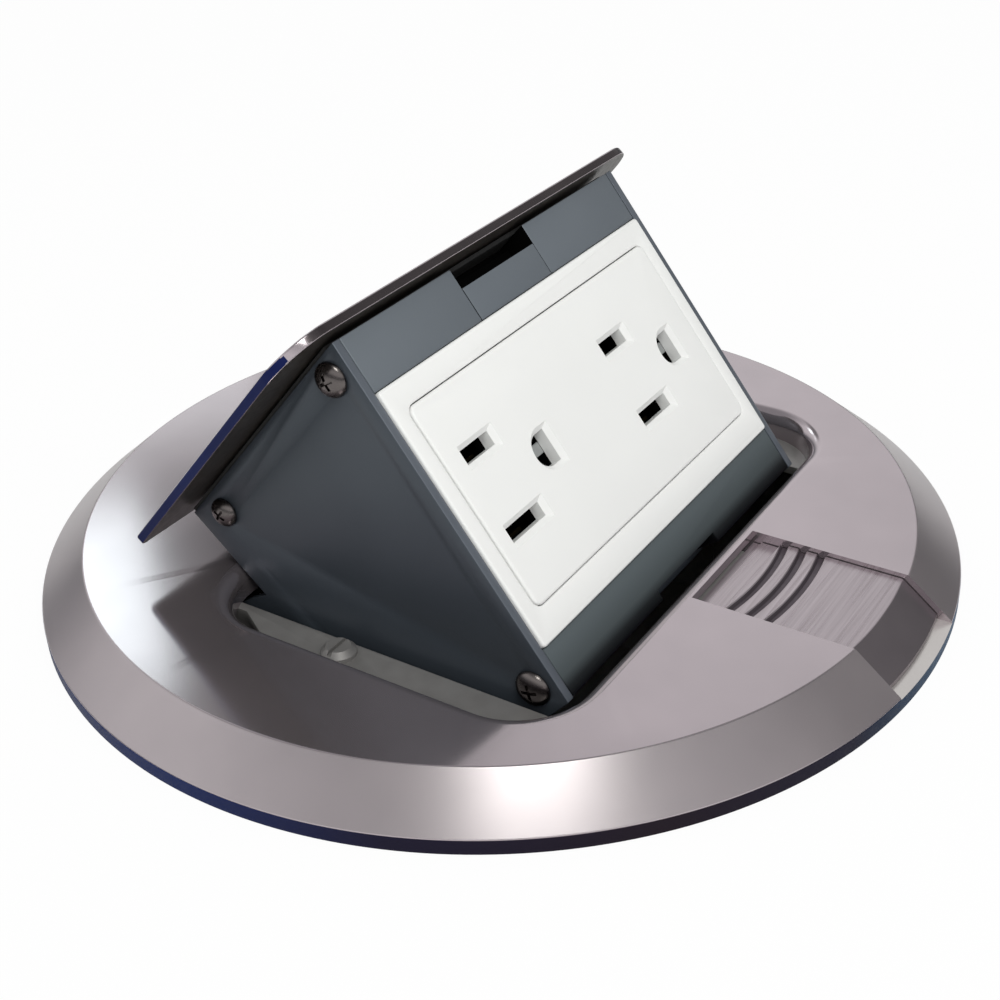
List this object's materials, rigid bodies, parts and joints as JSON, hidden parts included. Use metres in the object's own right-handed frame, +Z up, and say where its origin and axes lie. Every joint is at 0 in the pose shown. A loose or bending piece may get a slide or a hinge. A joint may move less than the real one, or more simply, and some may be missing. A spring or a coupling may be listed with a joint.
{
  "type": "pop-up floor box outlet",
  "caption": "Round floor box with a bevelled trim ring and a sprung pop-up head that carries grounded sockets on its face, held shut by a sliding latch.",
  "frame": {"origin": "on the can's axis at floor level, which is the trim ring's underside", "axes": "+Z up out of the floor; X along the head's hinge axle; the latch slide and the socket face are on the -Y side"},
  "size_m": [0.15, 0.15, 0.1198],
  "materials": {
    "ring_nickel": "satin nickel, fine brush lines along X",
    "dark_enamel": "satin slate enamel",
    "white_plastic": "smooth white thermoplastic",
    "grey_plastic": "moulded dark thermoplastic",
    "zinc_steel": "zinc-plated sheet steel",
    "dark_screw": "dark polished steel",
    "bright_screw": "bright plated steel",
    "brass": "spring brass",
    "green_screw": "green earth screw",
    "black_nylon": "black nylon",
    "gasket_rubber": "black foam rubber",
    "spring_steel": "drawn spring wire"
  },
  "bodies": {
    "base": {"trim_ring": "ring_nickel", "ring_gasket": "gasket_rubber", "support_frame": "zinc_steel", "floor_can": "zinc_steel", "knockout_plugs": "zinc_steel", "frame_screws": "bright_screw", "ring_screws": "bright_screw", "ground_screw": "green_screw", "hinge_axle": "bright_screw", "axle_clips": "spring_steel", "hub_washers": "black_nylon", "stop_pins": "bright_screw", "lift_springs": "spring_steel"},
    "head": {"side_plate_right": "dark_enamel", "side_plate_left": "dark_enamel", "spacer_bars": "zinc_steel", "top_plate": "zinc_steel", "back_cover": "dark_enamel", "lid_plate": "ring_nickel", "lid_gasket": "gasket_rubber", "lid_nuts": "bright_screw", "top_rail": "dark_enamel", "bottom_rail": "dark_enamel", "latch_keeper": "dark_enamel", "bezel": "white_plastic", "receptacle_face": "white_plastic", "receptacle_body": "grey_plastic", "neutral_contacts": "brass", "line_contacts": "brass", "ground_contacts": "brass", "mounting_strap": "zinc_steel", "neutral_terminal_screws": "bright_screw", "line_terminal_screws": "brass", "strap_screws": "bright_screw", "side_screws": "dark_screw", "strain_relief": "black_nylon", "strain_relief_nut": "black_nylon"},
    "latch": {"latch_slide": "ring_nickel", "latch_tongue": "zinc_steel", "tongue_rivets": "bright_screw", "guide_screw": "bright_screw"}
  },
  "joints": [
    {"name": "head_hinge", "type": "hinge", "parent": "base", "child": "head", "pos_m": [0, 0.0335, -0.0092], "axis": [1, 0, 0], "range_deg": [0, 49], "stiffness_Nm_per_rad": 0.35, "springref_deg": -51.57},
    {"name": "latch_travel", "type": "slide", "parent": "base", "child": "latch", "axis": [0, 1, 0], "range_m": [0, 0.0048]}
  ]
}
